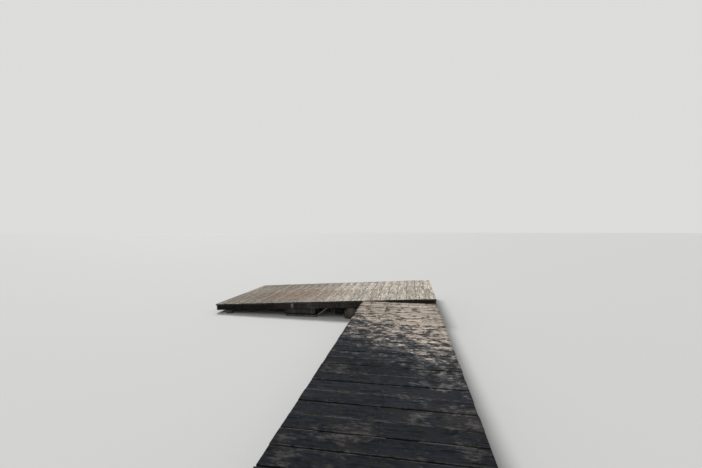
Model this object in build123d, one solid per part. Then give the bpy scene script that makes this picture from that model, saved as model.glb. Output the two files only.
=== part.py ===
from build123d import *

import os
from math import atan2, cos, degrees, radians, sin, tan

# A timber jetty: a level plank walkway on dapped log piles leads to a wider landing head.
# The head's outer left end has settled, so the whole head leans down to the left.
# X runs across the walkway, Y from its landward end out to the head and Z up, in millimetres.
# The origin is the middle of the sill's underside, and every pile is cut off at that level.

# Walkway deck: the boards are laid in pairs, with a tight joint in a pair and an open one between pairs
deck_top = 390
walkway_width = 1520
board_width = 200
tight_joint = 4
open_joint = 16
board_thickness = 45
board_count = 35
board_arris = 4
end_stagger = 3
bay_count = 4

# Walkway frame
stringer_width = 60
stringer_depth = 140
stringer_inset = 70
butt_gap = 4
sill_width = 160
lake_overhang = 230

# Bents: two log piles held between twin cap planks
pile_diameter = 170
pile_flank_dap = 25
pile_stringer_dap = 15
pile_head_clearance = 6
pile_head_chamfer = 10
cap_thickness = 45
cap_depth = 120
cap_end_inset = 20
cap_chamfer = 6
seat_depth = 8

# Landing head
head_sag = 3.35
head_step = 10
head_gap = 10
head_board_width = 195
head_board_gap = 10
head_board_thickness = 35
head_board_count = 24
head_board_arris = 3
head_depth = 2700
beam_width = 70
beam_depth = 115
beam_overhang = 25
rim_thickness = 32
rim_inset = 8

# What the head stands on
head_pile_diameter = 160
head_pile_inset = 330
junction_pile_diameter = 340
junction_pile_shoulder = 110
junction_pile_bands = 3
junction_pile_clearance = 75
junction_pile_setback = 70
square_post_width = 170
square_post_offset = 580
square_post_setback = 320

# Crib packed under the front beam, and its brace
crib_offset = 1050
crib_length = 680
crib_width = 140
crib_board_width = 200
crib_board_height = 44
crib_board_shift = 30
crib_board_projection = 20
crib_chamfer = 5
brace_thickness = 25
brace_width = 45
brace_foot_height = 16
brace_run = 243

# Derived levels and stations
mean_joint = (tight_joint + open_joint) / 2
pair_shift = (open_joint - tight_joint) / 4
board_pitch = board_width + mean_joint
head_board_pitch = head_board_width + head_board_gap
walkway_start = -sill_width / 2
walkway_end = walkway_start + board_count * board_pitch - mean_joint
head_start = walkway_end + head_gap
head_middle = head_start + head_depth / 2
head_end = head_start + head_depth
head_stagger = 0.7 * head_gap
beam_face = head_start + beam_overhang
bay_length = (beam_face - lake_overhang) / bay_count
bents = [bay_length * number for number in range(1, bay_count + 1)]
splice = bents[bay_count // 2 - 1]
stringer_top = deck_top - board_thickness
stringer_bottom = stringer_top - stringer_depth
cap_top = stringer_bottom + seat_depth
cap_spacing = pile_diameter - 2 * pile_flank_dap
stringer_reach = walkway_width / 2 - stringer_inset - stringer_width / 2
pile_reach = stringer_reach - stringer_width / 2 + pile_stringer_dap - pile_diameter / 2

# The head turns about the walkway's left edge.
edge = walkway_width / 2
hinge_x = -edge
head_top = deck_top + head_step
head_length = head_board_count * head_board_pitch - head_board_gap
head_right = edge
head_left = head_right - head_length
beam_top = head_top - head_board_thickness
beam_bottom = beam_top - beam_depth
hinge = Axis((hinge_x, 0, head_top), (0, 1, 0))

os.makedirs("parts", exist_ok=True)


def write(name, *solids):
    """One node: its solids, which don't touch each other."""
    export_step(Compound(list(solids)), f"parts/{name}.step")


def block(x0, x1, y0, y1, z0, z1):
    """A squared timber between three pairs of planes."""
    return Pos((x0 + x1) / 2, (y0 + y1) / 2, (z0 + z1) / 2) * Box(x1 - x0, y1 - y0, z1 - z0)


def settled(shape):
    """A piece of the head, built level, turned down with the sagging left end."""
    return shape.rotate(hinge, -head_sag)


def cut_to_head(solid, level):
    """Keep what is under a plane of the head that lay at this level before it settled."""
    face = settled(Pos(hinge_x, 0, level) * Rectangle(1, 1)).face()
    return split(solid, Plane(face), keep=Keep.BOTTOM)


def stagger(index, reach):
    """Uneven sawn ends: each board lies a little off the line of the one before."""
    return reach * sin(2.4 * index)


def board(length, width, thickness, arris):
    """A sawn board along X with its long upper edges eased and its underside at z = 0."""
    plank = Pos(0, 0, thickness / 2) * Box(length, width, thickness)
    upper = plank.edges().filter_by(Axis.X).group_by(Axis.Z)[-1]
    return chamfer(upper, arris)


def log(x, y, diameter, height):
    """A round pile standing at the origin's level."""
    return Pos(x, y) * extrude(Circle(diameter / 2), height)


def cap_pair(y):
    """Two planks on edge, one on each side of the piles."""
    planks = []
    for side in (-1, 1):
        plank = Box(walkway_width - 2 * cap_end_inset, cap_thickness, cap_depth)
        plank = chamfer(plank.edges().filter_by(Axis.Y), cap_chamfer)
        offset = side * (cap_spacing + cap_thickness) / 2
        planks.append(Pos(0, y + offset, cap_top - cap_depth / 2) * plank)
    return planks


def stringer(x, start, end):
    """A joist on edge, notched over the caps that it crosses."""
    half = stringer_width / 2
    bar = block(x - half, x + half, start, end, stringer_bottom, stringer_top)
    for bent in bents:
        for cap in cap_pair(bent):
            bar -= cap
    return bar


def bent_pile(side, y, beside):
    """A pile dapped on both flanks for the twin caps and outside for the stringer bolted to it."""
    pile = log(side * pile_reach, y, pile_diameter, stringer_top - pile_head_clearance)
    pile = chamfer(pile.edges().group_by(Axis.Z)[-1], pile_head_chamfer)
    for piece in [*cap_pair(y), *beside]:
        pile -= piece
    return pile


def walkway_board(index):
    """A board across the walkway, numbered from the sill: the first lies alone, the rest in pairs."""
    y = walkway_start + index * board_pitch + board_width / 2
    if index > 0:
        y += pair_shift if index % 2 == 1 else -pair_shift
    plank = board(walkway_width, board_width, board_thickness, board_arris)
    return Pos(stagger(index, end_stagger), y, stringer_top) * plank


def head_board(index):
    """A board of the head, laid from front to back, numbered from the left end."""
    x = head_left + index * head_board_pitch + head_board_width / 2
    plank = board(head_depth, head_board_width, head_board_thickness, head_board_arris)
    return settled(Pos(x, head_middle + stagger(index, head_stagger), beam_top) * Rot(0, 0, 90) * plank)


def head_beam(y):
    """A long beam under the head's boards, between the two rims."""
    start = head_left + rim_inset + rim_thickness
    end = head_right - rim_inset - rim_thickness
    half = beam_width / 2
    return settled(block(start, end, y - half, y + half, beam_bottom, beam_top))


def head_rim(x):
    """The plank that closes the beams' ends."""
    front = head_start + beam_overhang
    back = head_end - beam_overhang
    return settled(block(x, x + rim_thickness, front, back, beam_bottom, beam_top))


def head_pile(x, y):
    """A round pile cut to the leaning underside of its beam."""
    return cut_to_head(log(x, y, head_pile_diameter, head_top + head_length), beam_bottom)


def junction_pile(y):
    """The stout old log beside the walkway, its head worn round in bands under the front beam."""
    radius = junction_pile_diameter / 2
    x = -(edge + junction_pile_clearance + radius)
    slope = tan(radians(head_sag))
    height = beam_bottom + (x + radius - hinge_x) * slope
    shoulder = junction_pile_shoulder
    outline = [(0, 0), (radius, 0)]
    for band in range(junction_pile_bands + 1):
        turn = radians(90 * band / junction_pile_bands)
        outline.append((radius - shoulder * (1 - cos(turn)), height - shoulder * (1 - sin(turn))))
    outline.append((0, height))
    half_section = Plane.XZ * make_face(Polyline(*outline, close=True))
    pile = Pos(x, y) * revolve(half_section, Axis.Z)
    return cut_to_head(pile, beam_bottom)


def square_post():
    """A squared post behind the front beam, cut off under the boards."""
    x = -(edge + square_post_offset)
    half = square_post_width / 2
    front = head_start + square_post_setback
    post = block(x - half, x + half, front, front + square_post_width, 0, head_top + head_length)
    return cut_to_head(post, beam_top)


def crib():
    """A board lying at the foot with a timber packed between it and the front beam."""
    end = -(edge + crib_offset)
    front = beam_face
    lower = block(
        end - crib_length + crib_board_shift,
        end + crib_board_shift,
        front - crib_board_projection,
        front - crib_board_projection + crib_board_width,
        0,
        crib_board_height,
    )
    lower = chamfer(lower.edges().filter_by(Axis.X).group_by(Axis.Z)[-1], crib_chamfer)
    upper = block(end - crib_length, end, front, front + crib_width, crib_board_height, head_top)
    upper = chamfer(upper.edges().filter_by(Axis.X).group_by(Axis.Z)[0], crib_chamfer)
    return {"upper_timber": cut_to_head(upper, beam_bottom), "lower_board": lower}


def crib_brace(y, timbers):
    """A lath from the end of the crib's lower board up to the beam."""
    foot = Vector(-(edge + crib_offset) + crib_board_shift, y, brace_foot_height)
    head_x = foot.X + brace_run
    head = Vector(head_x, y, beam_bottom + (head_x - hinge_x) * tan(radians(head_sag)))
    run = head - foot
    middle = (foot + head) / 2
    angle = degrees(atan2(run.Z, run.X))
    length = run.length + 3 * brace_thickness
    bar = Pos(*middle) * Rot(0, -angle, 0) * Box(length, brace_width, brace_thickness)
    bar = cut_to_head(bar, beam_bottom)
    for piece in timbers:
        bar -= piece
    bar = split(bar, Plane.YZ.offset(foot.X), keep=Keep.TOP)
    return split(bar, Plane.XY, keep=Keep.TOP)


stringer_rows = {"left": -stringer_reach, "middle": 0, "right": stringer_reach}
stringer_spans = {
    "shore": (walkway_start, splice - butt_gap / 2),
    "lake": (splice + butt_gap / 2, beam_face),
}
stringers = {}
for row, x in stringer_rows.items():
    for span, (start, end) in stringer_spans.items():
        stringers[row, span] = stringer(x, start, end)
        write(f"stringer_{row}_{span}", stringers[row, span])

write("shore_sill", block(-edge, edge, -sill_width / 2, sill_width / 2, 0, stringer_bottom))

for number, y in enumerate(bents, start=1):
    write(f"cap_pair_{number}", *cap_pair(y))
    for side, sign in (("left", -1), ("right", 1)):
        beside = [stringers[side, span] for span in stringer_spans]
        write(f"pile_{number}_{side}", bent_pile(sign, y, beside))

for bay in range(bay_count):
    members = [i for i in range(board_count) if i * bay_count // board_count == bay]
    write(f"walkway_boards_{bay + 1}", *[walkway_board(i) for i in members])

thirds = ("left", "middle", "right")
for third, name in enumerate(thirds):
    members = [i for i in range(head_board_count) if i * len(thirds) // head_board_count == third]
    write(f"head_boards_{name}", *[head_board(i) for i in members])

beam_rows = {
    "front": beam_face + beam_width / 2,
    "middle": head_middle,
    "back": head_end - beam_overhang - beam_width / 2,
}
pile_rows = {"left": head_left + head_pile_inset, "right": head_right - head_pile_inset}
for row, y in beam_rows.items():
    write(f"head_beam_{row}", head_beam(y))
    for side, x in pile_rows.items():
        write(f"head_pile_{row}_{side}", head_pile(x, y))
    if row != "front":
        write(f"head_pile_{row}_centre", head_pile(sum(pile_rows.values()) / 2, y))
write("head_rim_left", head_rim(head_left + rim_inset))
write("head_rim_right", head_rim(head_right - rim_inset - rim_thickness))

write("junction_pile", junction_pile(beam_rows["front"] + junction_pile_setback))
write("square_post", square_post())
timbers = crib()
for name, timber in timbers.items():
    write(f"crib_{name}", timber)
write("crib_brace", crib_brace(beam_rows["front"], timbers.values()))
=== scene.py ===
import math
import random
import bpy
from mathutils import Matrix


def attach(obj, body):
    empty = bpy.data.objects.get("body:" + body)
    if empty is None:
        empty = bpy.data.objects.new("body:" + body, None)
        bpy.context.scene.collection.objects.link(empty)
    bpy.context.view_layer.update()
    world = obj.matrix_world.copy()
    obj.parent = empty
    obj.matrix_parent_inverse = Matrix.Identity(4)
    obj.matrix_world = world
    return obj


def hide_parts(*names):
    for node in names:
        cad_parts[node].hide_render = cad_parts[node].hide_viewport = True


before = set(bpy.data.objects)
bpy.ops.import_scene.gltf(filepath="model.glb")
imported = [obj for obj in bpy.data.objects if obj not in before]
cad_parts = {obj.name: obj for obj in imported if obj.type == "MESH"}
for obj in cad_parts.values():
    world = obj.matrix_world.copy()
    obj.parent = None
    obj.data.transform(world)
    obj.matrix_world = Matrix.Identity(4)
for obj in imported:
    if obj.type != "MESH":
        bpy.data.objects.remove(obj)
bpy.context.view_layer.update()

from types import SimpleNamespace

import bmesh
import bpy
from mathutils import Matrix, Vector

# The sill: one squared timber laid across the landward end, sawn on four sides.
# It is damp dark softwood with eased edges and drying splits, and the joists rest on it.


def take_up(piece):
    """Make a piece the active one and the only one selected."""
    bpy.ops.object.select_all(action="DESELECT")
    bpy.context.view_layer.objects.active = piece
    piece.select_set(True)


def open_mesh(piece, kind, chosen):
    """Open a piece for editing with the vertices, edges or faces selected that pass a test."""
    take_up(piece)
    bpy.ops.object.mode_set(mode="EDIT")
    bpy.ops.mesh.select_mode(type=kind)
    bpy.ops.mesh.select_all(action="DESELECT")
    shape = bmesh.from_edit_mesh(piece.data)
    for item in {"VERT": shape.verts, "EDGE": shape.edges, "FACE": shape.faces}[kind]:
        if chosen(item):
            item.select_set(True)
    bmesh.update_edit_mesh(piece.data)


def close_mesh():
    bpy.ops.object.mode_set(mode="OBJECT")


def reshape(piece, kind, chosen, change, **settings):
    """Make one change in edit mode to the vertices, edges or faces that pass a test."""
    open_mesh(piece, kind, chosen)
    change(**settings)
    close_mesh()


def divide(piece, chosen, cuts):
    """Divide the edges that pass a test."""
    reshape(piece, "EDGE", chosen, bpy.ops.mesh.subdivide, number_cuts=cuts)


def ease(piece, chosen, offset, segments, **limits):
    """Round or chamfer the edges that pass a test."""
    reshape(piece, "EDGE", chosen, bpy.ops.mesh.bevel, offset=offset, segments=segments, **limits)


def settle_place(piece):
    """Put a piece's place into its mesh, so that its object sits at the origin."""
    take_up(piece)
    bpy.ops.object.transform_apply(location=True, rotation=True, scale=True)
    return piece


def block(middle, size):
    """A squared block round its middle."""
    bpy.ops.mesh.primitive_cube_add(size=1, location=middle, scale=size)
    return settle_place(bpy.context.object)


def block_between(low, high):
    """A squared block between two corners."""
    low, high = Vector(low), Vector(high)
    return block((low + high) / 2, high - low)


def runs_along(axis):
    """A test for edges that run along one axis."""
    def test(edge):
        run = edge.verts[1].co - edge.verts[0].co
        return abs(run[axis]) > 0.999 * run.length
    return test


def is_arris(edge):
    """A test for the sharp edges between two faces of a squared timber."""
    return len(edge.link_faces) == 2 and edge.calc_face_angle() > 1.0


def sawn_timber(name, low, high, grain, cuts, rows, arris):
    """A timber sawn between two corners, divided along its grain and across it, its arrises eased."""
    timber = block_between(low, high)
    timber.name = name
    across = [axis for axis in range(3) if axis != grain]
    for axis, count in zip((grain, *across), (cuts, *rows)):
        divide(timber, runs_along(axis), count)
    ease(timber, is_arris, arris, 2, clamp_overlap=True)
    return timber


def apply_modifier(piece, modifier):
    take_up(piece)
    bpy.ops.object.modifier_apply(modifier=modifier.name)


def wear_down(piece, grain, depth, size, stretch=5.0, direction="NORMAL", middle=0.85, worn=None):
    """Wear a surface, or the points of it that pass a test, in hollows that are longer along the grain."""
    field = bpy.data.textures.new("wear_field", "CLOUDS")
    field.noise_scale = size
    field.noise_depth = 3
    guide = bpy.data.objects.new("wear_guide", None)
    guide.scale = [stretch if axis == grain else 1.0 for axis in range(3)]
    bpy.context.scene.collection.objects.link(guide)
    bpy.context.view_layer.update()
    wear = piece.modifiers.new("wear", "DISPLACE")
    wear.texture = field
    wear.texture_coords = "OBJECT"
    wear.texture_coords_object = guide
    wear.direction = direction
    wear.mid_level = middle
    wear.strength = depth
    if worn:
        chosen = piece.vertex_groups.new(name="worn")
        chosen.add([vertex.index for vertex in piece.data.vertices if worn(vertex.co)], 1.0, "REPLACE")
        wear.vertex_group = chosen.name
    apply_modifier(piece, wear)
    piece.vertex_groups.clear()
    bpy.data.objects.remove(guide)
    bpy.data.textures.remove(field)


def cut_away(piece, cutters):
    """Cut a set of solids out of a piece and throw them away."""
    for cutter in cutters:
        cut = piece.modifiers.new("cut", "BOOLEAN")
        cut.operation = "DIFFERENCE"
        cut.solver = "EXACT"
        cut.object = cutter
        apply_modifier(piece, cut)
        bpy.data.objects.remove(cutter)


def split_wedge(middle, size, grain, tip, taper):
    """A thin wedge for a drying split: it narrows to nothing at its tip, along the grain."""
    wedge = block(middle, size)
    open_mesh(wedge, "VERT", lambda v: (v.co[grain] - middle[grain]) * tip > 0)
    squeeze = [1.0, 1.0, 1.0]
    squeeze[taper] = 0.04
    bpy.ops.transform.resize(value=squeeze)
    shift = [0.0, 0.0, 0.0]
    shift[taper] = 0.02 * size[grain]
    bpy.ops.transform.translate(value=shift)
    close_mesh()
    return wedge


def mark_grain(piece, low, high, grain, seed, tone=1.0, upright=2):
    """Store where each point lies between its timber's corners: along the grain, across and through."""
    order = (grain, 3 - grain - upright, upright)
    points = piece.data.vertices
    places = [point.co[axis] - (low[axis] + high[axis]) / 2 for point in points for axis in order]
    for label, kind, field, values in (
        ("place", "FLOAT_VECTOR", "vector", places),
        ("half", "FLOAT_VECTOR", "vector", [(high[axis] - low[axis]) / 2 for axis in order] * len(points)),
        ("seed", "FLOAT", "value", [seed] * len(points)),
        ("tone", "FLOAT", "value", [tone] * len(points)),
    ):
        piece.data.attributes.new(label, kind, "POINT").data.foreach_set(field, values)


def finish_piece(piece, material, slot, *nodes):
    """Smooth a finished piece, give it its material and hand it to the frame."""
    take_up(piece)
    bpy.ops.object.shade_smooth_by_angle(angle=math.radians(38))
    piece.data.materials.clear()
    piece.data.materials.append(material)
    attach(piece, "root")
    if nodes:
        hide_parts(*nodes)


class Value:
    """A value in a material's nodes. Sums and products of values put in the nodes that make them."""

    def __init__(self, socket):
        self.socket = socket
        self.tree = socket.id_data

    def __add__(self, other):
        return work_out("ADD", self, other)

    def __sub__(self, other):
        return work_out("SUBTRACT", self, other)

    def __mul__(self, other):
        return work_out("MULTIPLY", self, other)

    def __abs__(self):
        return work_out("ABSOLUTE", self)


def feed(node, feeds):
    """Link or set a node's sockets."""
    for label, value in feeds.items():
        if isinstance(value, Value):
            node.id_data.links.new(value.socket, node.inputs[label])
        else:
            node.inputs[label].default_value = value


def put(tree, kind, feeds=None, **settings):
    """Add a node, set its properties and feed its sockets."""
    node = tree.nodes.new(kind)
    for key, value in settings.items():
        setattr(node, key, value)
    feed(node, feeds or {})
    return node


def output(node, label):
    return Value(node.outputs[label])


def all_outputs(node):
    """A node's outputs by name. The last output of a group's input node is an empty one."""
    return SimpleNamespace(**{socket.name: Value(socket) for socket in node.outputs})


def work_out(operation, first, *others):
    """A Math node's result, or a Vector Math node's where a place or a colour comes first."""
    flat = first.socket.type == "VALUE"
    kind = "ShaderNodeMath" if flat else "ShaderNodeVectorMath"
    node = put(first.tree, kind, dict(enumerate((first, *others))), operation=operation)
    return output(node, "Value" if flat or operation == "LENGTH" else "Vector")


def axes(place):
    """The three coordinates of a place."""
    return [Value(socket) for socket in put(place.tree, "ShaderNodeSeparateXYZ", {0: place}).outputs]


def scale(value, amount):
    """A colour or a place scaled by an amount that may change over the surface."""
    node = put(value.tree, "ShaderNodeVectorMath", {0: value, "Scale": amount}, operation="SCALE")
    return output(node, "Vector")


def fade(value, low, high, start=0.0, end=1.0):
    """A smooth step of a value between two limits."""
    feeds = {"Value": value, "From Min": low, "From Max": high, "To Min": start, "To Max": end}
    return output(put(value.tree, "ShaderNodeMapRange", feeds, interpolation_type="SMOOTHSTEP"), "Result")


def noise(place, spread, detail=3, roughness=0.55, distortion=0):
    """Noise at a scale that may differ along each axis."""
    feeds = {"Vector": place * spread, "Scale": 1, "Detail": detail}
    feeds |= {"Roughness": roughness, "Distortion": distortion}
    return output(put(place.tree, "ShaderNodeTexNoise", feeds), "Fac")


def mix(mask, first, second):
    """Two colours mixed by a mask."""
    solid = [(*colour, 1.0) if isinstance(colour, tuple) else colour for colour in (first, second)]
    node = put(mask.tree, "ShaderNodeMix", {0: mask, 6: solid[0], 7: solid[1]}, data_type="RGBA")
    return output(node, 2)


def coat(colour, *coats):
    """A colour with coats laid over it in turn, each a mask and a paint."""
    for mask, paint in coats:
        colour = mix(mask, colour, paint)
    return colour


def relief(height, depth, strength):
    """The normal of a surface with a height as relief of a real depth."""
    feeds = {"Height": height, "Distance": depth, "Strength": strength}
    return output(put(height.tree, "ShaderNodeBump", feeds), "Normal")


def facing(tree):
    """The three parts of the direction that a surface faces."""
    return axes(output(put(tree, "ShaderNodeNewGeometry"), "Normal"))


def effect_group(name, places, numbers, results):
    """A shader node group with named sockets: its tree, what it is given and its output node."""
    tree = bpy.data.node_groups.new(name, "ShaderNodeTree")
    for labels, way, kind in (
        (places, "INPUT", "NodeSocketVector"),
        (numbers, "INPUT", "NodeSocketFloat"),
        (results, "OUTPUT", "NodeSocketFloat"),
    ):
        for label in labels:
            tree.interface.new_socket(name=label, in_out=way, socket_type=kind)
    return tree, all_outputs(tree.nodes.new("NodeGroupInput")), tree.nodes.new("NodeGroupOutput")


def place_group(group, **feeds):
    """Place a node group beside the values that feed it and return its outputs."""
    first, *_ = feeds.values()
    return all_outputs(put(first.tree, "ShaderNodeGroup", feeds, node_tree=group))


# Grain: growth rings round a pith line that each timber has in its own place, fine fibres,
# hairline checks along the grain, and knots that the rings bend round
grain_group, given, results = effect_group(
    "timber_grain", ["Place"], ["Seed", "Pith", "Ring"], ["Rings", "Fibre", "Check", "Knot", "Height"]
)
chance = put(grain_group, "ShaderNodeTexWhiteNoise", {"W": given.Seed}, noise_dimensions="1D")
offset = (output(chance, "Color") - (0.5, 0.5, 1.3)) * (23, 1.6, 1)
pith_place = scale(offset, given.Pith) * (0, 1, 1)
at = given.Place + offset * (1, 0, 0) - pith_place
knot_feeds = {"Vector": at * (1.5, 4.2, 0), "Scale": 1, "Randomness": 0.9}
knot_gap = output(put(grain_group, "ShaderNodeTexVoronoi", knot_feeds, voronoi_dimensions="2D"), "Distance")
near_knot = fade(knot_gap, 0.42, 0.02)
knot_core = fade(knot_gap, 0.085, 0.05)
radius = work_out("LENGTH", at * (0.0, 1.0, 1.0))
bend = noise(at, (1.3, 3, 3), 2)
turns = work_out("DIVIDE", radius, given.Ring) + bend * 7.0 + near_knot * 2.4
saw = work_out("FRACT", turns)
uneven = noise(at, (1.5, 20, 20), 2)
late = fade(saw, 0.35, 0.95) * fade(saw, 1, 0.95) * fade(uneven, 0.3, 0.62)
fibre = noise(at, (7, 420, 420), 4, 0.6)
strands = noise(at, (2.2, 90, 90), 3, 0.6)
fibre = fibre * 0.5 + strands * 0.5
line = abs(noise(at, (0.9, 42, 42), 1, 0.5, 0.15) - 0.5)
spell = noise(at, (2.6, 14, 14), 2)
check = fade(line, 0.012, 0.003) * fade(spell, 0.5, 0.6)
height = fibre * 0.9 + late * 0.35 - check * 1.6 + knot_core * 0.3
feed(results, {"Rings": late, "Fibre": fibre, "Check": check, "Knot": knot_core, "Height": height})

# Edge wear: how near a point is to a long arris and to a sawn end of its own timber
edge_group, given, results = effect_group("timber_edges", ["Place", "Half"], ["Width"], ["Arris", "End"])
end_gap, *side_gaps = axes(given.Half - abs(given.Place))
nears = [fade(gap, given.Width, 0) for gap in side_gaps]
feed(results, {"Arris": fade(nears[0] + nears[1], 1, 1.8), "End": fade(end_gap, 0.06, 0)})

# Streaks: pale and dark runs down the upright faces of a timber that rain crosses
streak_group, given, results = effect_group("drip_streaks", ["Object"], [], ["Dark", "Pale"])
upright = fade(abs(facing(streak_group)[2]), 0.6, 0.2)
coarse = noise(given.Object, (9, 9, 1.2), 3, 0.65)
fine = noise(given.Object, (42, 42, 2), 2, 0.6)
dark = fade(coarse, 0.5, 0.64) * fade(fine, 0.3, 0.6)
pale = fade(coarse, 0.48, 0.38) * fade(fine, 0.42, 0.66)
feed(results, {"Dark": dark * upright, "Pale": pale * upright})

# The damp foot: a dark line that wanders, with a green film below it
foot_group, given, results = effect_group("damp_foot", ["Object"], ["Level"], ["Wet", "Film"])
wander = noise(given.Object, (9, 9, 5), 3) * 0.07
over = axes(given.Object)[2] - (given.Level + (wander - 0.035))
scum = noise(given.Object, (30, 30, 18), 4)
feed(results, {"Wet": fade(over, 0.03, -0.02), "Film": fade(over, 0.005, -0.04) * fade(scum, 0.38, 0.6)})


def new_material(name):
    """A material with its shader, object coordinates and the timber's own places."""
    material = bpy.data.materials.new(name)
    material.use_nodes = True
    tree = material.node_tree
    spots = {"object": output(put(tree, "ShaderNodeTexCoord"), "Object")}
    for label, kind in (("place", "Vector"), ("half", "Vector"), ("seed", "Fac"), ("tone", "Fac")):
        spots[label] = output(put(tree, "ShaderNodeAttribute", attribute_name=label), kind)
    return material, tree.nodes["Principled BSDF"], SimpleNamespace(**spots)


def squared_figure(spots, pith, ring, width):
    """The grain of a squared timber and the wear of its edges."""
    figure = place_group(grain_group, Place=spots.place, Seed=spots.seed, Pith=pith, Ring=ring)
    return figure, place_group(edge_group, Place=spots.place, Half=spots.half, Width=width)


# Damp dark softwood of the frame: brown-grey, darker than the wood itself as painted shade under the decks,
# streaked down its sides, greenish at the foot
frame_wood, shader, spots = new_material("frame_timber")
figure, edges = squared_figure(spots, 0.09, 0.0045, 0.014)
streaks = place_group(streak_group, Object=spots.object)
foot = place_group(foot_group, Object=spots.object, Level=0.05)
blotch = noise(spots.object, (5, 5, 5), 4, 0.6)
body = fade(figure.Fibre * 0.9 + blotch * 0.5, 0.42, 0.95)
colour = coat(
    mix(body, (0.021, 0.0195, 0.019), (0.082, 0.0755, 0.07)),
    (figure.Rings * 0.35, (0.045, 0.032, 0.023)),
    (figure.Knot * 0.8, (0.028, 0.018, 0.012)),
    (streaks.Dark * 0.6, (0.016, 0.014, 0.013)),
    (streaks.Pale * 0.6, (0.15, 0.145, 0.135)),
    (edges.Arris * fade(blotch, 0.4, 0.65) * 0.5, (0.16, 0.14, 0.115)),
    (figure.Check, (0.008, 0.007, 0.006)),
    (foot.Wet * 0.6, (0.018, 0.017, 0.014)),
    (foot.Film * 0.3, (0.05, 0.062, 0.022)),
)
feed(shader, {
    "Base Color": scale(colour, spots.tone),
    "Roughness": fade(foot.Wet, 0, 1, 0.85, 0.5),
    "Specular IOR Level": 0.15,
    "Normal": relief(figure.Height, 0.0022, 0.8),
})


def finish_timber(timber, name, grain, coarse, fine, lean=None):
    """Wear a timber of the frame in broad hollows and fine ones, lean it if it does, and hand it over."""
    wear_down(timber, grain, *coarse)
    wear_down(timber, grain, *fine)
    if lean is not None:
        timber.data.transform(lean)
    finish_piece(timber, frame_wood, "frame_timber", name)


half_walkway = 0.76
shore_edge = -0.08
sill_top = 0.205
sill_corners = (-half_walkway, shore_edge, 0.0), (half_walkway, -shore_edge, sill_top)
sill = sawn_timber("shore_sill", *sill_corners, 0, 48, (6, 7), 0.006)
cut_away(sill, [
    split_wedge((-0.68, -0.02, 0.19), (0.22, 0.007, 0.09), 0, 1, 1),
    split_wedge((0.66, 0.03, 0.2), (0.26, 0.006, 0.07), 0, -1, 1),
    split_wedge((0.2, shore_edge, 0.11), (0.5, 0.03, 0.005), 0, 1, 2),
])
mark_grain(sill, *sill_corners, 0, 0.31)
finish_timber(sill, "shore_sill", 0, (0.006, 0.16), (0.002, 0.03))

# The walkway's piles: round softwood logs, debarked, their heads dapped on both flanks for the
# twin caps and on the outer side for the joist that is bolted to them


def cylinder(sides, radius, depth, middle, lying=False):
    """A cylinder round its middle, upright or lying along X."""
    bpy.ops.mesh.primitive_cylinder_add(vertices=sides, radius=radius, depth=depth, location=middle,
                                        rotation=(0, math.pi / 2 if lying else 0, 0))
    return settle_place(bpy.context.object)


def round_log(name, x, y, top, radius, rim=0.009, sides=48, lengths=18):
    """A round log standing on the ground level, its rim rounded, divided up its height."""
    log = cylinder(sides, radius, top, (x, y, top / 2))
    log.name = name
    ease(log, lambda e: is_arris(e) and min(v.co.z for v in e.verts) > top - 0.001,
         rim, 3 if rim < 0.02 else 10)
    divide(log, lambda e: runs_along(2)(e) and e.calc_length() > 0.03, lengths)
    open_mesh(log, "FACE", lambda f: f.normal.z > 0.99 and f.calc_center_median().z > top - 0.001)
    for _ in range(2):
        bpy.ops.mesh.inset(thickness=(radius - rim) * 0.3)
    close_mesh()
    return log


def radial_check(x, y, top, radius, angle, depth, length, width):
    """A cutter for a drying check: open at a log's head and skin, it closes inwards and downwards."""
    middle = (radius - depth / 2 + 0.02, 0, top - length / 2 + 0.01)
    blade = block(middle, (depth + 0.04, width, length + 0.02))
    for chosen, squeeze in (
        (lambda v: v.co.z < top - length / 2, 0.06),
        (lambda v: v.co.x < radius - depth / 2, 0.15),
    ):
        reshape(blade, "VERT", chosen, bpy.ops.transform.resize, value=(1, squeeze, 1))
    blade.data.transform(Matrix.Translation((x, y, 0)) @ Matrix.Rotation(angle, 4, "Z"))
    return blade


def mark_log(log, x, y, top, radius, seed, tone=1.0):
    """Mark the grain of a log, which runs up it from the ground."""
    mark_grain(log, (x - radius, y - radius, 0), (x + radius, y + radius, top), 2, seed, tone, upright=1)


# Log surface: brown-grey sapwood with long checks, dark and green at the foot, rings on the head
log_wood, shader, spots = new_material("pile_logs")
figure = place_group(grain_group, Place=spots.place, Seed=spots.seed, Pith=0.006, Ring=0.0038)
streaks = place_group(streak_group, Object=spots.object)
foot = place_group(foot_group, Object=spots.object, Level=0.085)
blotch = noise(spots.object, (7, 7, 3), 4, 0.6)
body = fade(figure.Fibre * 0.85 + blotch * 0.6, 0.45, 1)
colour = coat(
    mix(body, (0.05, 0.042, 0.034), (0.21, 0.178, 0.14)),
    (figure.Rings * 0.4, (0.06, 0.04, 0.026)),
    (figure.Knot * 0.85, (0.035, 0.022, 0.014)),
    (streaks.Dark * 0.45, (0.024, 0.02, 0.018)),
    (figure.Check, (0.01, 0.008, 0.007)),
    (foot.Wet * 0.72, (0.02, 0.019, 0.015)),
    (foot.Film * 0.8, (0.052, 0.068, 0.024)),
)
feed(shader, {
    "Base Color": scale(colour, spots.tone),
    "Roughness": fade(foot.Wet, 0, 1, 0.8, 0.34),
    "Normal": relief(figure.Height, 0.003, 0.9),
})

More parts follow.
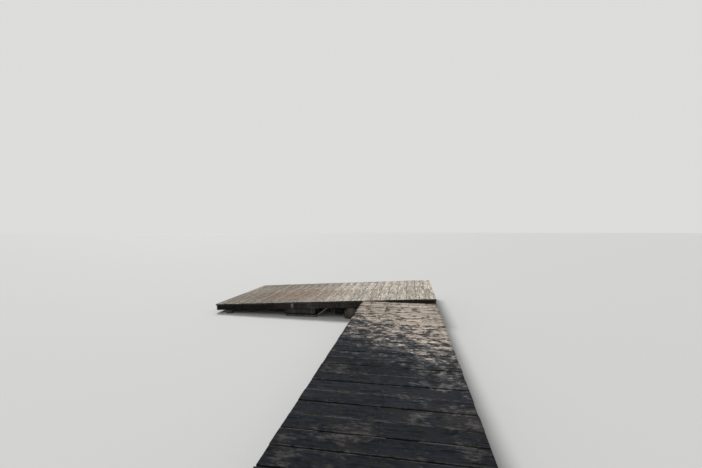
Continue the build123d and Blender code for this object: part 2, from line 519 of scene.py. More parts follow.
bents = (1.76625, 3.5325, 5.29875, 7.065)
cap_levels = (0.093, 0.213)
cap_inside, cap_outside = 0.06, 0.105
joist_levels = (sill_top, 0.345)
pile_reach = 0.56
pile_radius = 0.085
pile_top = 0.339
overshoot = 0.2
dice = random.Random(11)
for number, y in enumerate(bents, start=1):
    for side, sign in (("left", -1), ("right", 1)):
        x = sign * pile_reach
        name = f"pile_{number}_{side}"
        pile = round_log(name, x, y, pile_top, pile_radius)
        left, right = x - overshoot, x + overshoot
        near, far = y - overshoot, y + overshoot
        outer = (x + 0.07, right) if sign > 0 else (left, x - 0.07)
        cutters = [
            block_between((left, y + cap_inside, cap_levels[0]), (right, far, cap_levels[1])),
            block_between((left, near, cap_levels[0]), (right, y - cap_inside, cap_levels[1])),
            block_between((outer[0], near, joist_levels[0]), (outer[1], far, 0.4)),
        ]
        for _ in range(3):
            angle = dice.uniform(0, 2 * math.pi)
            cutters.append(radial_check(x, y, pile_top, pile_radius, angle, dice.uniform(0.035, 0.07),
                                        dice.uniform(0.1, 0.3), dice.uniform(0.004, 0.009)))
        cut_away(pile, cutters)
        for depth, size, stretch in ((0.007, 0.05, 4.0), (0.003, 0.012, 9.0)):
            wear_down(pile, 2, depth, size, stretch,
                      worn=lambda point: math.hypot(point.x - x, point.y - y) > 0.8 * pile_radius)
        mark_log(pile, x, y, pile_top, pile_radius, dice.random(), dice.uniform(0.85, 1.1))
        finish_piece(pile, log_wood, "pile_logs", name)

# The caps: sawn planks on edge, two to each row of piles, that clasp the dapped heads and are
# bolted through them, their arrises eased and their ends split


def join_pieces(name, pieces):
    """Join pieces into one mesh with one name."""
    first, *others = pieces
    take_up(first)
    for piece in others:
        piece.select_set(True)
    bpy.ops.object.join()
    first.name = first.data.name = name
    return first


cap_half = 0.74
for number, y in enumerate(bents, start=1):
    planks = []
    for low, high in ((-cap_outside, -cap_inside), (cap_inside, cap_outside)):
        corners = (-cap_half, y + low, cap_levels[0]), (cap_half, y + high, cap_levels[1])
        plank = sawn_timber("cap", *corners, 0, 46, (2, 5), 0.005)
        splits = []
        for end in (-1, 1):
            length = dice.uniform(0.08, 0.24)
            height = dice.uniform(0.12, 0.19)
            splits.append(split_wedge((end * (cap_half - length / 2 + 0.01), y + (low + high) / 2, height),
                                      (length, 0.07, 0.005), 0, -end, 2))
        cut_away(plank, splits)
        mark_grain(plank, *corners, 0, dice.random(), dice.uniform(0.85, 1.15))
        planks.append(plank)
    pair = join_pieces(f"cap_pair_{number}", planks)
    finish_timber(pair, f"cap_pair_{number}", 0, (0.004, 0.12), (0.0016, 0.02))

# The joists: three rows of sawn timber on edge, each in two lengths that butt over the second
# bent, notched to sit down over the caps and butted against the front beam at the lake end
joist_half = 0.03
joist_rows = {"left": -0.66, "middle": 0.0, "right": 0.66}
beam_face = 7.295
joist_spans = {"shore": (shore_edge, 3.5305), "lake": (3.5345, beam_face)}
notch_inside, notch_outside = cap_inside - 0.001, cap_outside + 0.001
for row, x in joist_rows.items():
    for span, (start, end) in joist_spans.items():
        name = f"stringer_{row}_{span}"
        corners = (x - joist_half, start, joist_levels[0]), (x + joist_half, end, joist_levels[1])
        joist = sawn_timber(name, *corners, 1, 100, (3, 6), 0.005)
        cutters = []
        for y in bents:
            for low, high in ((-notch_outside, -notch_inside), (notch_inside, notch_outside)):
                if start < y + high and y + low < end:
                    notch = (x - 0.1, y + low, 0.19), (x + 0.1, y + high, cap_levels[1])
                    cutters.append(block_between(*notch))
        for tip, at_end in ((1, start), (-1, end)):
            length = dice.uniform(0.12, 0.3)
            cutters.append(split_wedge((x, at_end + tip * length / 2, dice.uniform(0.24, 0.31)),
                                       (0.1, length, 0.005), 1, tip, 2))
        cut_away(joist, cutters)
        mark_grain(joist, *corners, 1, dice.random(), dice.uniform(0.9, 1.15))
        finish_timber(joist, name, 1, (0.004, 0.12), (0.0015, 0.02))

# The bolts through the caps and piles, and through the outer joists: rusted hexagon heads on
# round washers, made once and copied, each turned a little differently
rust_steel, shader, spots = new_material("rusted_steel")
grit = noise(spots.object, (260, 260, 260), 4, 0.65)
bloom = noise(spots.object, (38, 38, 38), 3, 0.6)
colour = mix(fade(bloom, 0.35, 0.65), (0.018, 0.0155, 0.0145), (0.042, 0.029, 0.023))
feed(shader, {
    "Base Color": mix(fade(grit, 0.5, 0.7), colour, (0.024, 0.019, 0.018)),
    "Roughness": fade(bloom, 0.3, 0.7, 0.55, 0.85),
    "Metallic": 0.35,
    "Normal": relief(grit, 0.0006, 0.8),
})


def copy_to(master, matrix):
    """A copy with its own mesh, moved in that mesh."""
    copy = master.copy()
    copy.data = master.data.copy()
    copy.data.transform(matrix)
    bpy.context.scene.collection.objects.link(copy)
    return copy


def finish_steel(name, driven):
    """Join bolts, or the nails that found a face, and hand them over."""
    finish_piece(join_pieces(name, [each for each in driven if each]), rust_steel, "fasteners")


def crown(piece, axis, inset, rise):
    """Crown a head: inset the face at its end and lift that a little."""
    open_mesh(piece, "FACE", lambda f: f.normal[axis] > 0.9)
    bpy.ops.mesh.inset(thickness=inset)
    bpy.ops.transform.translate(value=[rise if number == axis else 0.0 for number in range(3)])
    close_mesh()


shank_reach = 0.03
washer = cylinder(20, 0.02, 0.003, (0.0015, 0, 0), lying=True)
ease(washer, is_arris, 0.0006, 1)
bolt_head = cylinder(6, 0.0125, 0.009, (0.0075, 0, 0), lying=True)
crown(bolt_head, 0, 0.0016, 0.0012)
shank = cylinder(12, 0.0065, shank_reach, (0.004 - shank_reach / 2, 0, 0), lying=True)
ease(shank, is_arris, 0.0005, 1)
bolt = join_pieces("bolt", [washer, bolt_head, shank])
cap_bolts = ((-0.028, 0.182), (0.03, 0.124))
joist_bolts = ((-0.04, 0.3), (0.038, 0.25))
cap_seat = cap_outside - 0.0005
joist_seat = joist_rows["right"] + joist_half - 0.0005
for number, y in enumerate(bents, start=1):
    seats = [
        (way * math.pi / 2, (x + shift, y + way * cap_seat, z))
        for x in (-pile_reach, pile_reach) for way in (-1, 1) for shift, z in cap_bolts
    ]
    seats += [
        (0 if way > 0 else math.pi, (way * joist_seat, y + shift, z))
        for way in (-1, 1) for shift, z in joist_bolts
    ]
    driven = []
    for turn, seat in seats:
        spin = Matrix.Rotation(dice.uniform(0, 1), 4, "X")
        driven.append(copy_to(bolt, Matrix.Translation(seat) @ Matrix.Rotation(turn, 4, "Z") @ spin))
    finish_steel(f"bent_bolts_{number}", driven)
bpy.data.objects.remove(bolt)

# The walkway's boards: sawn softwood 200 by 45 mm laid across the joists in pairs, their upper
# arrises worn round, their ends split and trimmed unevenly


def deck_board(size, columns, arris, splits, split_depth):
    """A board along X centred on the origin, its top at z = 0, finely divided on top only."""
    length, width, thickness = size
    board = block((0, 0, -thickness / 2), size)
    divide(board, runs_along(0), 100)
    divide(board, lambda e: runs_along(1)(e) and e.verts[0].co.z > -0.001, columns)
    ease(board, lambda e: is_arris(e) and min(v.co.z for v in e.verts) > -0.001, arris, 3)
    ease(board, lambda e: is_arris(e) and e.verts[0].co.z < -0.01, 0.002, 1)
    reshape(board, "VERT", lambda v: v.co.z > -0.001 and abs(v.co.y) < width * 0.3,
            bpy.ops.transform.translate, value=(0, 0, -0.0012))
    cutters = []
    for end, y, reach, opening in splits:
        middle = (end * (length / 2 - reach / 2 + 0.005), y, 0.01 - split_depth / 2)
        cutters.append(split_wedge(middle, (reach, opening, split_depth + 0.02), 0, -end, 1))
    cut_away(board, cutters)
    return board


nail_across = 0.055

# Places of the nails: two through each board into each joist or beam, with a rusty stain round
nail_group, given, results = effect_group("nail_stains", ["Place"], ["Spacing", "Across"], ["Stain"])
own = axes(given.Place)
along = work_out("MINIMUM", abs(own[0]), abs(abs(own[0]) - given.Spacing))
flat = put(nail_group, "ShaderNodeCombineXYZ", {0: along * 0.5, 1: abs(own[1]) - given.Across})
gap = work_out("LENGTH", output(flat, 0)) + noise(given.Place, (40, 130, 40), 3) * 0.012
feed(results, {"Stain": fade(gap, 0.024, 0.008)})

walkway_wood, shader, spots = new_material("walkway_boards")
figure, edges = squared_figure(spots, 0.11, 0.0042, 0.012)
nails = place_group(nail_group, Place=spots.place, Spacing=0.66, Across=nail_across)
patch = noise(spots.object, (2.7, 4.2, 4), 5, 0.62)
mottle = noise(spots.object, (19, 42, 20), 4, 0.62)
sun_dapple = noise(spots.object, (9, 12, 9), 4, 0.6)
drawn = noise(spots.place, (3, 36, 20), 4, 0.6)
body = fade(figure.Fibre * 0.6 + mottle * 0.35 + drawn * 0.45, 0.54, 0.88)

# The inner boards are painted almost black with a blue cast: damp wood under painted shade of the trees,
# with a painted sky reflection, and with brown patches where feet rub them
dark = mix(body, (0.0062, 0.007, 0.009), (0.0295, 0.034, 0.0425))
brown = mix(body, (0.027, 0.0258, 0.0255), (0.125, 0.118, 0.112))
worn = patch + mottle * 0.35
# Three brown patches at given spots are partly rubbed wear and partly painted sunflecks in that shade
for worn_and_sunlit_patch, closeness in (
    ((-0.16, 2.68, 0.39), (4.6, 3.4, 0)),
    ((-0.62, 2.31, 0.39), (6.5, 6.5, 0)),
    ((0.63, 2.95, 0.39), (4.6, 1.8, 0)),
):
    away = work_out("LENGTH", (spots.object - worn_and_sunlit_patch) * closeness)
    worn = worn + fade(away, 1, 0.2, 0, 0.16)
colour = mix(fade(worn, 0.71, 0.86) * 0.85, dark, brown)

# The outer boards are painted pale, first on the right: bleached wood under painted sunlight, its edge
# broken by painted dapples of light that run together further out, with a blue-grey band before it of
# painted shade and painted sky reflection
right, lakewards, _ = axes(spots.object)
slant = lakewards + right * 0.95
# How far a point lies into the painted sunlight, its edge broken by painted dapples
reach = slant + (patch - 0.5) * 2.6 + (sun_dapple - 0.5) * 4.4 + (mottle - 0.5) * 2.2
shade_sky_grey = mix(body, (0.046, 0.048, 0.051), (0.2, 0.202, 0.202))
sunlit_bleached = mix(body, (0.2, 0.166, 0.138), (0.84, 0.72, 0.6))
colour = coat(colour, (fade(reach, 3.85, 5.25) * 0.8, shade_sky_grey), (fade(reach, 4.8, 5.9) * 0.92, sunlit_bleached))
# Dark streaks and flecks over the outer boards are painted shadows of leaves, a little fainter further out
leaf_shadow_streaks = sun_dapple * 0.5 + noise(spots.object, (8, 13, 9), 5, 0.62) + mottle * 0.3
leaf_shadow_flecks = noise(spots.object, (7.5, 5.5, 6), 3, 0.6)
leaf_shadow_spots = work_out("MAXIMUM", fade(leaf_shadow_streaks, 0.87, 0.78), fade(leaf_shadow_flecks, 0.43, 0.36))
painted_leaf_shadow = leaf_shadow_spots * fade(slant, 5, 7.2, 0.85, 0.74)

side = output(put(shader.id_data, "ShaderNodeAttribute", attribute_name="tight_side"), "Fac")
inward = axes(spots.half)[1] - axes(spots.place)[1] * side
scuffed = fade(inward, 0.016, 0.002) * fade(mottle, 0.36, 0.56)
colour = coat(
    colour,
    (painted_leaf_shadow, (0.026, 0.026, 0.027)),
    (figure.Rings * 0.3, (0.03, 0.027, 0.026)),
    (edges.Arris * fade(mottle, 0.45, 0.65) * 0.4, (0.105, 0.097, 0.088)),
    (scuffed * 0.5, (0.11, 0.105, 0.103)),
    (figure.Knot * 0.8, (0.014, 0.011, 0.01)),
    (figure.Check, (0.004, 0.004, 0.004)),
    (edges.End * 0.35, (0.022, 0.021, 0.02)),
    (nails.Stain * 0.5, (0.014, 0.011, 0.01)),
)
feed(shader, {
    "Base Color": scale(colour, spots.tone),
    "Roughness": fade(fade(patch, 0.46, 0.34), 0, 1, 0.82, 0.66),
    "Specular IOR Level": 0.02,
    "Normal": relief(figure.Height, 0.0022, 0.7),
})


def lay_board(masters, size, centre, grain, trim, tilt, sink, tones, near_trim=0.0):
    """A copy of one of the boards in its place, its ends, width, tilt and level a little at random."""
    x, y, top = centre
    trims = (dice.uniform(0, trim), dice.uniform(0, trim))
    length = size[0] - sum(trims)
    width = size[1] - dice.uniform(0, 0.003) - near_trim
    if grain == 0:
        x += (trims[0] - trims[1]) / 2
        reach = (length / 2, width / 2)
    else:
        y += (trims[0] - trims[1]) / 2
        reach = (width / 2, length / 2)
    turned = Matrix.Rotation(math.pi * dice.randrange(2), 4, "Z")
    leaned = Matrix.Rotation(math.radians(dice.uniform(-tilt, tilt)), 4, "X")
    stretch = Matrix.Diagonal((length / size[0], width / size[1], 1, 1))
    heading = Matrix.Rotation(grain * math.pi / 2, 4, "Z")
    seat = Matrix.Translation((x, y, top - dice.uniform(*sink)))
    board = copy_to(masters[dice.randrange(len(masters))], seat @ heading @ leaned @ stretch @ turned)
    mark_grain(board, (x - reach[0], y - reach[1], top - size[2]), (x + reach[0], y + reach[1], top),
               grain, dice.random(), dice.uniform(*tones))
    return board


def wear_deck(deck, grain, swerve, roughness):
    """Wear a deck: its boards' edges swerve a little, and their faces are hollowed and roughened."""
    wear_down(deck, grain, swerve, 0.22, 2.5, "YX"[grain], 0.5)
    wear_down(deck, grain, 0.0022, 0.05, 7.0)
    wear_down(deck, grain, roughness, 0.014, 4.0)


board_size = (1.52, 0.2, 0.045)
board_width = board_size[1]
board_pitch = 0.21
deck_top = 0.39
walkway_bays = (range(0, 9), range(9, 18), range(18, 27), range(27, 35))
near_edge_trims = {12: 0.007}
split_sets = (
    ((-1, 0.03, 0.16, 0.005), (1, -0.05, 0.09, 0.004)),
    ((1, 0.01, 0.24, 0.006), (1, 0.07, 0.07, 0.003), (-1, -0.06, 0.06, 0.003)),
    ((-1, -0.02, 0.08, 0.004), (-1, 0.065, 0.2, 0.005)),
    ((1, -0.035, 0.13, 0.004), (-1, 0.0, 0.05, 0.003), (1, 0.05, 0.06, 0.003)),
    ((-1, 0.05, 0.1, 0.004),),
)
masters = [deck_board(board_size, 11, 0.005, splits, 0.06) for splits in split_sets]
dice = random.Random(29)
walkway_pieces = []
for bay, numbers in enumerate(walkway_bays, start=1):
    boards = []
    for index in numbers:
        pull = 0 if index == 0 else 0.003 if index % 2 == 1 else -0.003
        near_trim = near_edge_trims.get(index, 0.0)
        y = shore_edge + index * board_pitch + board_width / 2 + pull + near_trim / 2
        board = lay_board(masters, board_size, (0.003 * math.sin(2.4 * index), y, deck_top), 0,
                          trim=0.002, tilt=0.22, sink=(0, 0.002), tones=(0.82, 1.18), near_trim=near_trim)
        tight_side = [1.0 if index % 2 == 1 else -1.0] * len(board.data.vertices)
        board.data.attributes.new("tight_side", "FLOAT", "POINT").data.foreach_set("value", tight_side)
        boards.append(board)
    deck = join_pieces(f"walkway_boards_{bay}", boards)
    wear_deck(deck, 0, 0.0045, 0.0016)
    finish_piece(deck, walkway_wood, "walkway_boards", f"walkway_boards_{bay}")
    walkway_pieces.append(deck)
for master in masters:
    bpy.data.objects.remove(master)

# Silt in the joints: grey dirt trodden level between the boards of a pair, and lying low and
# broken in some of the wider joints, above all in the outer half
silt, shader, spots = new_material("joint_silt")
grit = noise(spots.object, (160, 160, 160), 4, 0.65)
lie = noise(spots.object, (9, 9, 9), 3, 0.6)
colour = mix(fade(grit, 0.35, 0.65), (0.032, 0.03, 0.028), (0.125, 0.118, 0.108))
colour = mix(fade(lie, 0.56, 0.42), colour, (0.022, 0.021, 0.02))
feed(shader, {
    "Base Color": scale(colour, spots.tone),
    "Roughness": 0.95,
    "Specular IOR Level": 0.1,
    "Normal": relief(grit, 0.001, 0.8),
})


def silt_strip(low, high, along, tone):
    """A strip of silt between two corners, divided along its length, its upper edges crumbled."""
    low, high = Vector(low), Vector(high)
    strip = block_between(low, high)
    cuts = max(4, round((high - low)[along] / 0.03))
    divide(strip, runs_along(along), cuts)
    ease(strip, lambda e: is_arris(e) and e.verts[0].co.z > high.z - 0.001, 0.0015, 1)
    mark_grain(strip, low, high, along, 0.5, tone)
    return strip


silt_thickness = 0.014
silt_ends = (-0.752, 0.752)
first_low_joint = 20
early_low_joints = (13, 19)
early_dice = random.Random(53)
for bay, numbers in enumerate(walkway_bays, start=1):
    strips = []
    for joint in range(numbers[0] + 1, min(numbers[-1] + 2, walkway_bays[-1].stop)):
        tight = joint % 2 == 0
        early = joint in early_low_joints
        if joint in near_edge_trims or not (tight or early or joint >= first_low_joint):
            continue
        draw = early_dice if early else dice
        y = shore_edge + joint * board_pitch - (board_pitch - board_width) / 2
        half_gap = 0.006 if tight else 0.012
        top = deck_top - (0.0025 if tight else 0.007)
        start = silt_ends[0]
        while start < 0.7:
            length = draw.uniform(0.3, 0.9) if tight else draw.uniform(0.1, 0.4)
            end = min(start + length, silt_ends[1])
            low = (start, y - half_gap, top - silt_thickness)
            strips.append(silt_strip(low, (end, y + half_gap, top), 0, 1.0))
            start = end + (draw.uniform(0.01, 0.06) if tight else draw.uniform(0.05, 0.3))
    dirt = join_pieces(f"joint_silt_{bay}", strips)
    wear_down(dirt, 0, 0.003, 0.03, 3.0, "Z", 1.0)
    finish_piece(dirt, silt, "walkway_boards")

# The walkway's nails: round wire nails of rusted steel, driven flush through the boards, two
# into each joist
nail = cylinder(10, 0.005, 0.008, (0, 0, -0.004))
crown(nail, 2, 0.0018, 0.0004)


def drive_nail(piece, start, heading, reach):
    """A copy of the nail driven along a heading, with its head flush with the face that it meets."""
    hit, spot, _, _ = piece.ray_cast(start, heading, distance=reach)
    if not hit:
        return None
    turn = Vector((0, 0, -1)).rotation_difference(heading).to_matrix().to_4x4()
    return copy_to(nail, Matrix.Translation(spot - 0.0003 * heading) @ turn)


def nail_down(name, deck, crossings, grain):
    """Two nails at each crossing of a board and a joist or beam, each a little astray."""
    astray = (0.006, 0.012) if grain else (0.012, 0.006)
    driven = []
    for x, y in crossings:
        for side in (-nail_across, nail_across):
            above = (x + side * grain + dice.uniform(-astray[0], astray[0]),
                     y + side * (1 - grain) + dice.uniform(-astray[1], astray[1]), 1.0)
            driven.append(drive_nail(deck, above, Vector((0, 0, -1)), 0.9))
    finish_steel(name, driven)


bpy.context.view_layer.update()
for bay, (deck, numbers) in enumerate(zip(walkway_pieces, walkway_bays), start=1):
    rows = [shore_edge + index * board_pitch + board_width / 2 for index in numbers]
    nail_down(f"walkway_nails_{bay}", deck, [(x, y) for y in rows for x in joist_rows.values()], 0)

# The landing head's beams: three long sawn timbers under its boards, the front one open to view,
# dark and streaked. The whole head leans down to the left, turned about the walkway's left edge
head_top = 0.4
hinge = Vector((-half_walkway, 0, head_top))
lean_turn = Matrix.Rotation(math.radians(-3.35), 4, "Y")
head_lean = Matrix.Translation(hinge) @ lean_turn @ Matrix.Translation(-hinge)
beam_levels = (0.25, 0.365)
beam_ends = (-4.11, 0.72)
beam_rows = {"front": 7.33, "middle": 8.62, "back": 9.91}
beam_half = 0.035
pale_runs = (
    (-2.612, 0.035, 0.5), (-2.505, 0.03, 0.6), (-2.335, 0.036, 5.5), (-2.174, 0.03, 0.5),
    (-1.962, 0.045, 1.3), (-1.664, 0.03, 0.5), (-1.414, 0.035, 0.9), (-1.192, 0.035, 0.8),
)


def front_tone_and_shade(point):
    """How light the front beam is: darkest at its low end, which is painted shade of leaves, with pale runs
    that start at its top.
    """
    rise = min(1.0, max(0.0, (point.x + 3.2) / 1.5))
    tone = 0.28 + 0.62 * rise * rise * (3 - 2 * rise)
    height = (point.z - beam_levels[0]) / (beam_levels[1] - beam_levels[0])
    for x, reach, extra in pale_runs:
        tone += extra * (0.3 + 0.7 * height) * max(0.0, 1.0 - abs(point.x - x) / reach)
    return tone


def set_tones(piece, tone_at):
    """Make each point of a piece as light as a rule says for its place."""
    tones = [tone_at(vertex.co) for vertex in piece.data.vertices]
    piece.data.attributes["tone"].data.foreach_set("value", tones)


for row, y in beam_rows.items():
    name = f"head_beam_{row}"
    corners = (beam_ends[0], y - beam_half, beam_levels[0]), (beam_ends[1], y + beam_half, beam_levels[1])
    beam = sawn_timber(name, *corners, 0, 100, (3, 5), 0.005)
    if row == "front":
        divide(beam, runs_along(0), 2)
    mark_grain(beam, *corners, 0, dice.random())
    if row == "front":
        set_tones(beam, front_tone_and_shade)
    finish_timber(beam, name, 0, (0.005, 0.14), (0.002, 0.02), head_lean)

# The rims: thin sawn planks on edge that close the ends of the beams at the head's two sides,
# nailed twice to the end of each beam
rim_places = {"left": (-4.142, -1), "right": (0.72, 1)}
rim_thickness = 0.032
rim_end = 9.945
rim_nail_levels = ((0.28, 0.004), (0.335, -0.006))
for side, (x, outward) in rim_places.items():
    name = f"head_rim_{side}"
    corners = (x, beam_face, beam_levels[0]), (x + rim_thickness, rim_end, beam_levels[1])
    rim = sawn_timber(name, *corners, 1, 84, (1, 5), 0.004)
    mark_grain(rim, *corners, 1, dice.random(), 1.1)
    finish_timber(rim, name, 1, (0.003, 0.12), (0.0014, 0.02), head_lean)
    bpy.context.view_layer.update()
    heading = head_lean.to_3x3() @ Vector((-outward, 0, 0))
    driven = []
    for place, y in enumerate(beam_rows.values(), start=1):
        for level, shift in rim_nail_levels:
            outside = head_lean @ Vector((x + rim_thickness / 2 + outward * 0.1, y + shift * place, level))
            driven.append(drive_nail(rim, outside, heading, 0.2))
    finish_steel(f"rim_nails_{side}", driven)

# The head's piles: round softwood logs like the walkway's that stand under its beams and are
# cut off on the slant to meet them


def cut_under_head(piece, level):
    """Cut a standing piece off along a plane of the head that lay at this level before it sank."""
    reshape(piece, "FACE", lambda f: True, bpy.ops.mesh.bisect, use_fill=True, clear_outer=True,
            plane_co=head_lean @ Vector((-half_walkway, 0, level)),
            plane_no=head_lean.to_3x3() @ Vector((0, 0, 1)))


head_radius = 0.08
head_stations = {"left": -3.82, "centre": -1.695, "right": 0.43}
for row, y in beam_rows.items():
    for station, x in head_stations.items():
        if row == "front" and station == "centre":
            continue
        name = f"head_pile_{row}_{station}"
        pile = round_log(name, x, y, head_top, head_radius)
        wear_down(pile, 2, 0.007, 0.05, 4.0)
        wear_down(pile, 2, 0.003, 0.012, 9.0)
        cut_under_head(pile, beam_levels[0])
        mark_log(pile, x, y, 0.3, head_radius, dice.random(), dice.uniform(0.85, 1.1))
        finish_piece(pile, log_wood, "pile_logs", name)

# The stout pile where head and walkway meet: an old softwood log whose head has worn round and
# cracked, cut off under the leaning beam
old_x, old_y, old_radius, old_shoulder = -1.005, 7.4, 0.17, 0.13
old_top = 0.2395
dome_stretch = 1.3
old_pile = round_log("junction_pile", old_x, old_y, old_top / dome_stretch, old_radius, old_shoulder, 72, 12)
old_pile.data.transform(Matrix.Diagonal((1, 1, dome_stretch, 1)))
cut_under_head(old_pile, beam_levels[0])
checks = []
for angle in (-2.0, -1.2, -0.3, 1.1, 2.4):
    checks.append(radial_check(old_x, old_y, old_top + 0.005, old_radius, angle, dice.uniform(0.06, 0.12),
                               dice.uniform(0.14, 0.24), dice.uniform(0.004, 0.008)))
cut_away(old_pile, checks)


def under_beam(point):
    return (head_lean.inverted() @ point).z < beam_levels[0] - 0.004


wear_down(old_pile, 2, 0.012, 0.09, 3.0, worn=under_beam)
wear_down(old_pile, 2, 0.004, 0.016, 7.0, worn=under_beam)
mark_log(old_pile, old_x, old_y, old_top, old_radius, 0.47)
finish_piece(old_pile, log_wood, "pile_logs", "junction_pile")

# The squared post behind the front beam: one sawn softwood timber with eased arrises, cut off
# on the slant under the boards
post_low, post_high = (-1.425, 7.59, 0.0), (-1.255, 7.76, head_top)
post = sawn_timber("square_post", post_low, post_high, 2, 16, (7, 7), 0.007)
cut_under_head(post, beam_levels[1])
mark_grain(post, post_low, (*post_high[:2], 0.34), 2, 0.83, 0.95, upright=1)
finish_timber(post, "square_post", 2, (0.006, 0.1), (0.002, 0.02))

# The crib under the front beam: a softwood board that lies at the foot, split at both ends, and
# a squared timber packed between it and the beam
lower_corners = (-2.46, 7.275, 0.0), (-1.78, 7.475, 0.044)
lower = sawn_timber("crib_lower_board", *lower_corners, 0, 34, (10, 2), 0.005)
cut_away(lower, [split_wedge((-1.84, 7.33, 0.03), (0.14, 0.006, 0.05), 0, -1, 1),
                 split_wedge((-2.38, 7.41, 0.03), (0.18, 0.005, 0.05), 0, 1, 1)])
mark_grain(lower, *lower_corners, 0, 0.12)
# The lower board's top edge is painted dark, the shade of the joint under the timber
set_tones(lower, lambda point: 0.5 if point.z > 0.041 else 3.4 if point.z > 0.012 else 1.0)
finish_timber(lower, "crib_lower_board", 0, (0.004, 0.1), (0.0015, 0.02))

upper_low, upper_high = (-2.49, beam_face, lower_corners[1][2]), (-1.81, 7.435, head_top)
upper = sawn_timber("crib_upper_timber", upper_low, upper_high, 0, 34, (6, 9), 0.006)
cut_under_head(upper, beam_levels[0])
cut_away(upper, [split_wedge((-1.88, beam_face, 0.13), (0.16, 0.05, 0.004), 0, -1, 2),
                 split_wedge((-2.35, beam_face, 0.1), (0.34, 0.03, 0.003), 0, 1, 2)])
mark_grain(upper, (*upper_low[:2], 0.04), (*upper_high[:2], 0.18), 0, 0.66)
# The timber is painted dark at its foot, the shade of the joint over the board, and darker at its top, a
# painted shadow of the beam above
set_tones(upper, lambda point: 0.3 if point.z < 0.058 else 1.25 if point.z < 0.13 else 0.85)
finish_timber(upper, "crib_upper_timber", 0, (0.005, 0.1), (0.002, 0.02))

# The brace: a thin bare sawn lath that leans from the end of the crib's lower board up to the
# underside of the beam
lath_end = lower_corners[1][0]
lath_foot = Vector((lath_end, beam_rows["front"], 0.016))
lath_head = Vector((-1.537, beam_rows["front"], 0.2045))
run = lath_head - lath_foot
lath_high = ((run.length + 0.06) / 2, 0.0225, 0.0125)
lath_low = tuple(-reach for reach in lath_high)
lath = sawn_timber("crib_brace", lath_low, lath_high, 0, 24, (3, 1), 0.003)
mark_grain(lath, lath_low, lath_high, 0, 0.94, 3.6)
wear_down(lath, 0, 0.0016, 0.05)
slope = Matrix.Rotation(-math.atan2(run.z, run.x), 4, "Y")
lath.data.transform(Matrix.Translation((lath_foot + lath_head) / 2) @ slope)
cut_under_head(lath, beam_levels[0])
for corner, normal in (((lath_end, 0, 0), (1, 0, 0)), ((0, 0, 0), (0, 0, 1))):
    reshape(lath, "FACE", lambda f: True, bpy.ops.mesh.bisect, plane_co=corner, plane_no=normal,
            use_fill=True, clear_inner=True)
finish_piece(lath, frame_wood, "frame_timber", "crib_brace")

# The head's boards: sawn softwood 195 by 35 mm laid from front to back, bleached pale and sandy,
# their front ends worn, with a brown stain towards the back
head_wood, shader, spots = new_material("head_boards")
figure, edges = squared_figure(spots, 0.11, 0.0045, 0.012)
nails = place_group(nail_group, Place=spots.place, Spacing=1.29, Across=nail_across)
patch = noise(spots.object, (4, 3, 4), 5, 0.62)
mottle = noise(spots.object, (22, 7, 20), 5, 0.66)
speck = noise(spots.place, (16, 75, 75), 3, 0.7)
drawn = noise(spots.place, (2.4, 44, 30), 5, 0.62)
dirt = noise(spots.object, (26, 8, 20), 4, 0.7)
body = figure.Fibre * 0.5 + drawn * 0.55 + mottle * 0.3

# It is browner and dirtier towards its low left end, palest at its front edge and on the right
right = axes(spots.object)[0]
low_end = fade(right + (patch - 0.5) * 2.4, -0.9, -3) * fade(body, 0.94, 0.62)
specks = speck - fade(right, -1.5, 0.3) * 0.035
gap = work_out("LENGTH", (spots.object - (-2.35, 8.3, 0.33)) * (0.65, 1.1, 0.0)) + (patch - 0.5) * 1.8
stain = fade(gap, 0.95, 0.35) * fade(mottle, 0.36, 0.6)
trodden = edges.End * fade(mottle, 0.35, 0.55)
# The boards' cut ends are painted near black: dark damp end grain with painted shade
cut_end_shade = fade(abs(facing(shader.id_data)[1]), 0.55, 0.85)
colour = coat(
    mix(fade(body, 0.55, 0.81), (0.17, 0.147, 0.12), (0.87, 0.79, 0.665)),
    (figure.Rings * 0.3, (0.27, 0.215, 0.155)),
    (low_end * 0.92, (0.11, 0.085, 0.058)),
    (fade(patch + mottle * 0.4, 0.7, 0.86) * 0.55, (0.14, 0.112, 0.084)),
    (fade(dirt, 0.53, 0.6) * 0.6, (0.12, 0.108, 0.095)),
    (fade(specks, 0.57, 0.63) * 0.75, (0.05, 0.04, 0.031)),
    (stain * 0.6, (0.27, 0.145, 0.06)),
    (figure.Knot * 0.8, (0.07, 0.045, 0.028)),
    (figure.Check, (0.03, 0.025, 0.02)),
    (trodden * 0.6, (0.68, 0.63, 0.54)),
    (nails.Stain * 0.5, (0.06, 0.038, 0.026)),
    (cut_end_shade * 0.94, (0.014, 0.012, 0.011)),
)
feed(shader, {
    "Base Color": scale(colour, spots.tone),
    "Roughness": 0.85,
    "Specular IOR Level": 0.3,
    "Normal": relief(figure.Height, 0.0022, 0.8),
})

head_size = (2.7, 0.195, 0.035)
head_width = head_size[1]
head_pitch = 0.205
head_left = -4.15
split_sets = (
    ((-1, 0.03, 0.2, 0.005), (1, -0.05, 0.12, 0.004)),
    ((-1, -0.04, 0.11, 0.004), (1, 0.01, 0.28, 0.006)),
    ((-1, 0.06, 0.08, 0.003), (-1, -0.01, 0.26, 0.005)),
    ((1, 0.04, 0.1, 0.004),),
)
masters = [deck_board(head_size, 8, 0.004, splits, 0.05) for splits in split_sets]
head_thirds = {"left": range(0, 8), "middle": range(8, 16), "right": range(16, 24)}
head_pieces = {}
for third, numbers in head_thirds.items():
    boards = []
    for index in numbers:
        centre = (head_left + index * head_pitch + head_width / 2,
                  beam_rows["middle"] + 0.007 * math.sin(2.4 * index), head_top)
        boards.append(lay_board(masters, head_size, centre, 1,
                                trim=0.008, tilt=0.2, sink=(0.0005, 0.002), tones=(0.85, 1.12)))
    deck = join_pieces(f"head_boards_{third}", boards)
    wear_deck(deck, 1, 0.004, 0.0014)
    deck.data.transform(head_lean)
    finish_piece(deck, head_wood, "head_boards", f"head_boards_{third}")
    head_pieces[third] = deck
for master in masters:
    bpy.data.objects.remove(master)

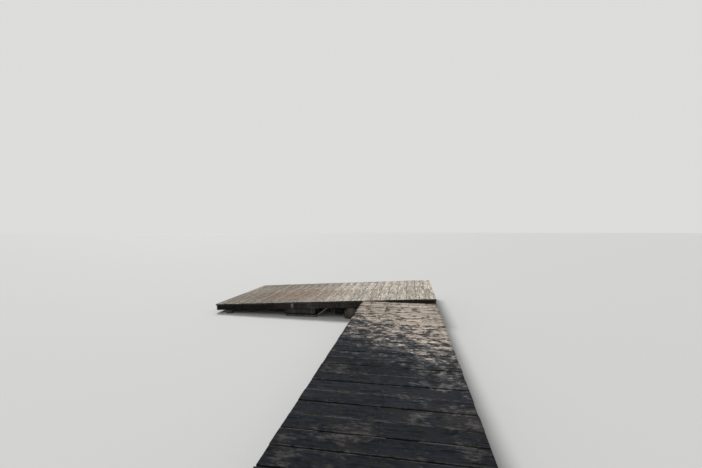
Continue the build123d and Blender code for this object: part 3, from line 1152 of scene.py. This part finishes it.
# Mould and dirt packed low in the head's joints in broken lengths, damp and dark at its low
# left end and paler towards the right
mould_ends = (7.29, 9.95)
strips = []
for joint in range(1, head_thirds["right"].stop):
    x = head_left + joint * head_pitch - (head_pitch - head_width) / 2
    top = head_top - dice.uniform(0.002, 0.004)
    tone = 2.2 + 2.0 * min(1.0, (x - head_left) / 2.6)
    start = mould_ends[0]
    while start < 9.9:
        end = min(start + dice.uniform(0.3, 1.1), mould_ends[1])
        strips.append(silt_strip((x - 0.009, start, top - 0.012), (x + 0.009, end, top), 1, tone))
        start = end + dice.uniform(0.01, 0.09)
mould = join_pieces("joint_silt_head", strips)
wear_down(mould, 1, 0.003, 0.03, 3.0, "Z", 1.0)
mould.data.transform(head_lean)
finish_piece(mould, silt, "head_boards")

# The head's nails: the same rusted wire nails as in the walkway, two through each board into
# each beam
bpy.context.view_layer.update()
for third, numbers in head_thirds.items():
    middles = [Vector((head_left + index * head_pitch + head_width / 2, 0, head_top)) for index in numbers]
    crossings = [((head_lean @ middle).x, y) for middle in middles for y in beam_rows.values()]
    nail_down(f"head_nails_{third}", head_pieces[third], crossings, 1)
bpy.data.objects.remove(nail)

# The studio: a plain pale floor, a soft sky all round and one broad lamp, and the camera at eye
# height over the walkway, turned a little to the left
bpy.ops.mesh.primitive_plane_add(size=600, location=(0, 0, -0.0005))
floor = bpy.context.object
floor.name = "studio_floor"
floor_paint = bpy.data.materials.new("studio_floor")
floor_paint.use_nodes = True
feed(floor_paint.node_tree.nodes["Principled BSDF"], {"Base Color": (0.62, 0.62, 0.61, 1), "Roughness": 0.9})
floor.data.materials.append(floor_paint)

world = bpy.data.worlds.new("studio_sky")
bpy.context.scene.world = world
world.use_nodes = True
tree = world.node_tree
tree.nodes.clear()
rays = put(tree, "ShaderNodeLightPath")
mirrored = work_out("MAXIMUM", output(rays, "Is Glossy Ray"), output(rays, "Is Transmission Ray"))
seen = work_out("MAXIMUM", output(rays, "Is Camera Ray"), mirrored)
light = put(tree, "ShaderNodeBackground", {"Color": (1, 1, 1, 1), "Strength": 0.45})
backdrop = put(tree, "ShaderNodeBackground", {"Color": (0.72, 0.72, 0.71, 1), "Strength": 1.0})
both = put(tree, "ShaderNodeMixShader", {0: seen, 1: output(light, 0), 2: output(backdrop, 0)})
put(tree, "ShaderNodeOutputWorld", {0: output(both, 0)})

lamp_data = bpy.data.lights.new("key_lamp", "SUN")
lamp_data.energy = 2.5
lamp_data.angle = math.radians(20)
lamp = bpy.data.objects.new("key_lamp", lamp_data)
lamp.rotation_euler = (math.radians(46), 0, math.radians(-145))
bpy.context.scene.collection.objects.link(lamp)

eye = (0.2015, 0.24, 1.873)
look_down = 0.0098
look_left = math.radians(9.762)
camera_data = bpy.data.cameras.new("camera")
camera_data.sensor_width = 36
camera_data.lens = 17.26
camera_data.clip_end = 1000
camera = bpy.data.objects.new("camera", camera_data)
camera.location = eye
camera.rotation_euler = (math.radians(90) - look_down, 0.0, look_left)
bpy.context.scene.collection.objects.link(camera)
bpy.context.scene.camera = camera
bpy.context.scene.view_settings.view_transform = "Standard"
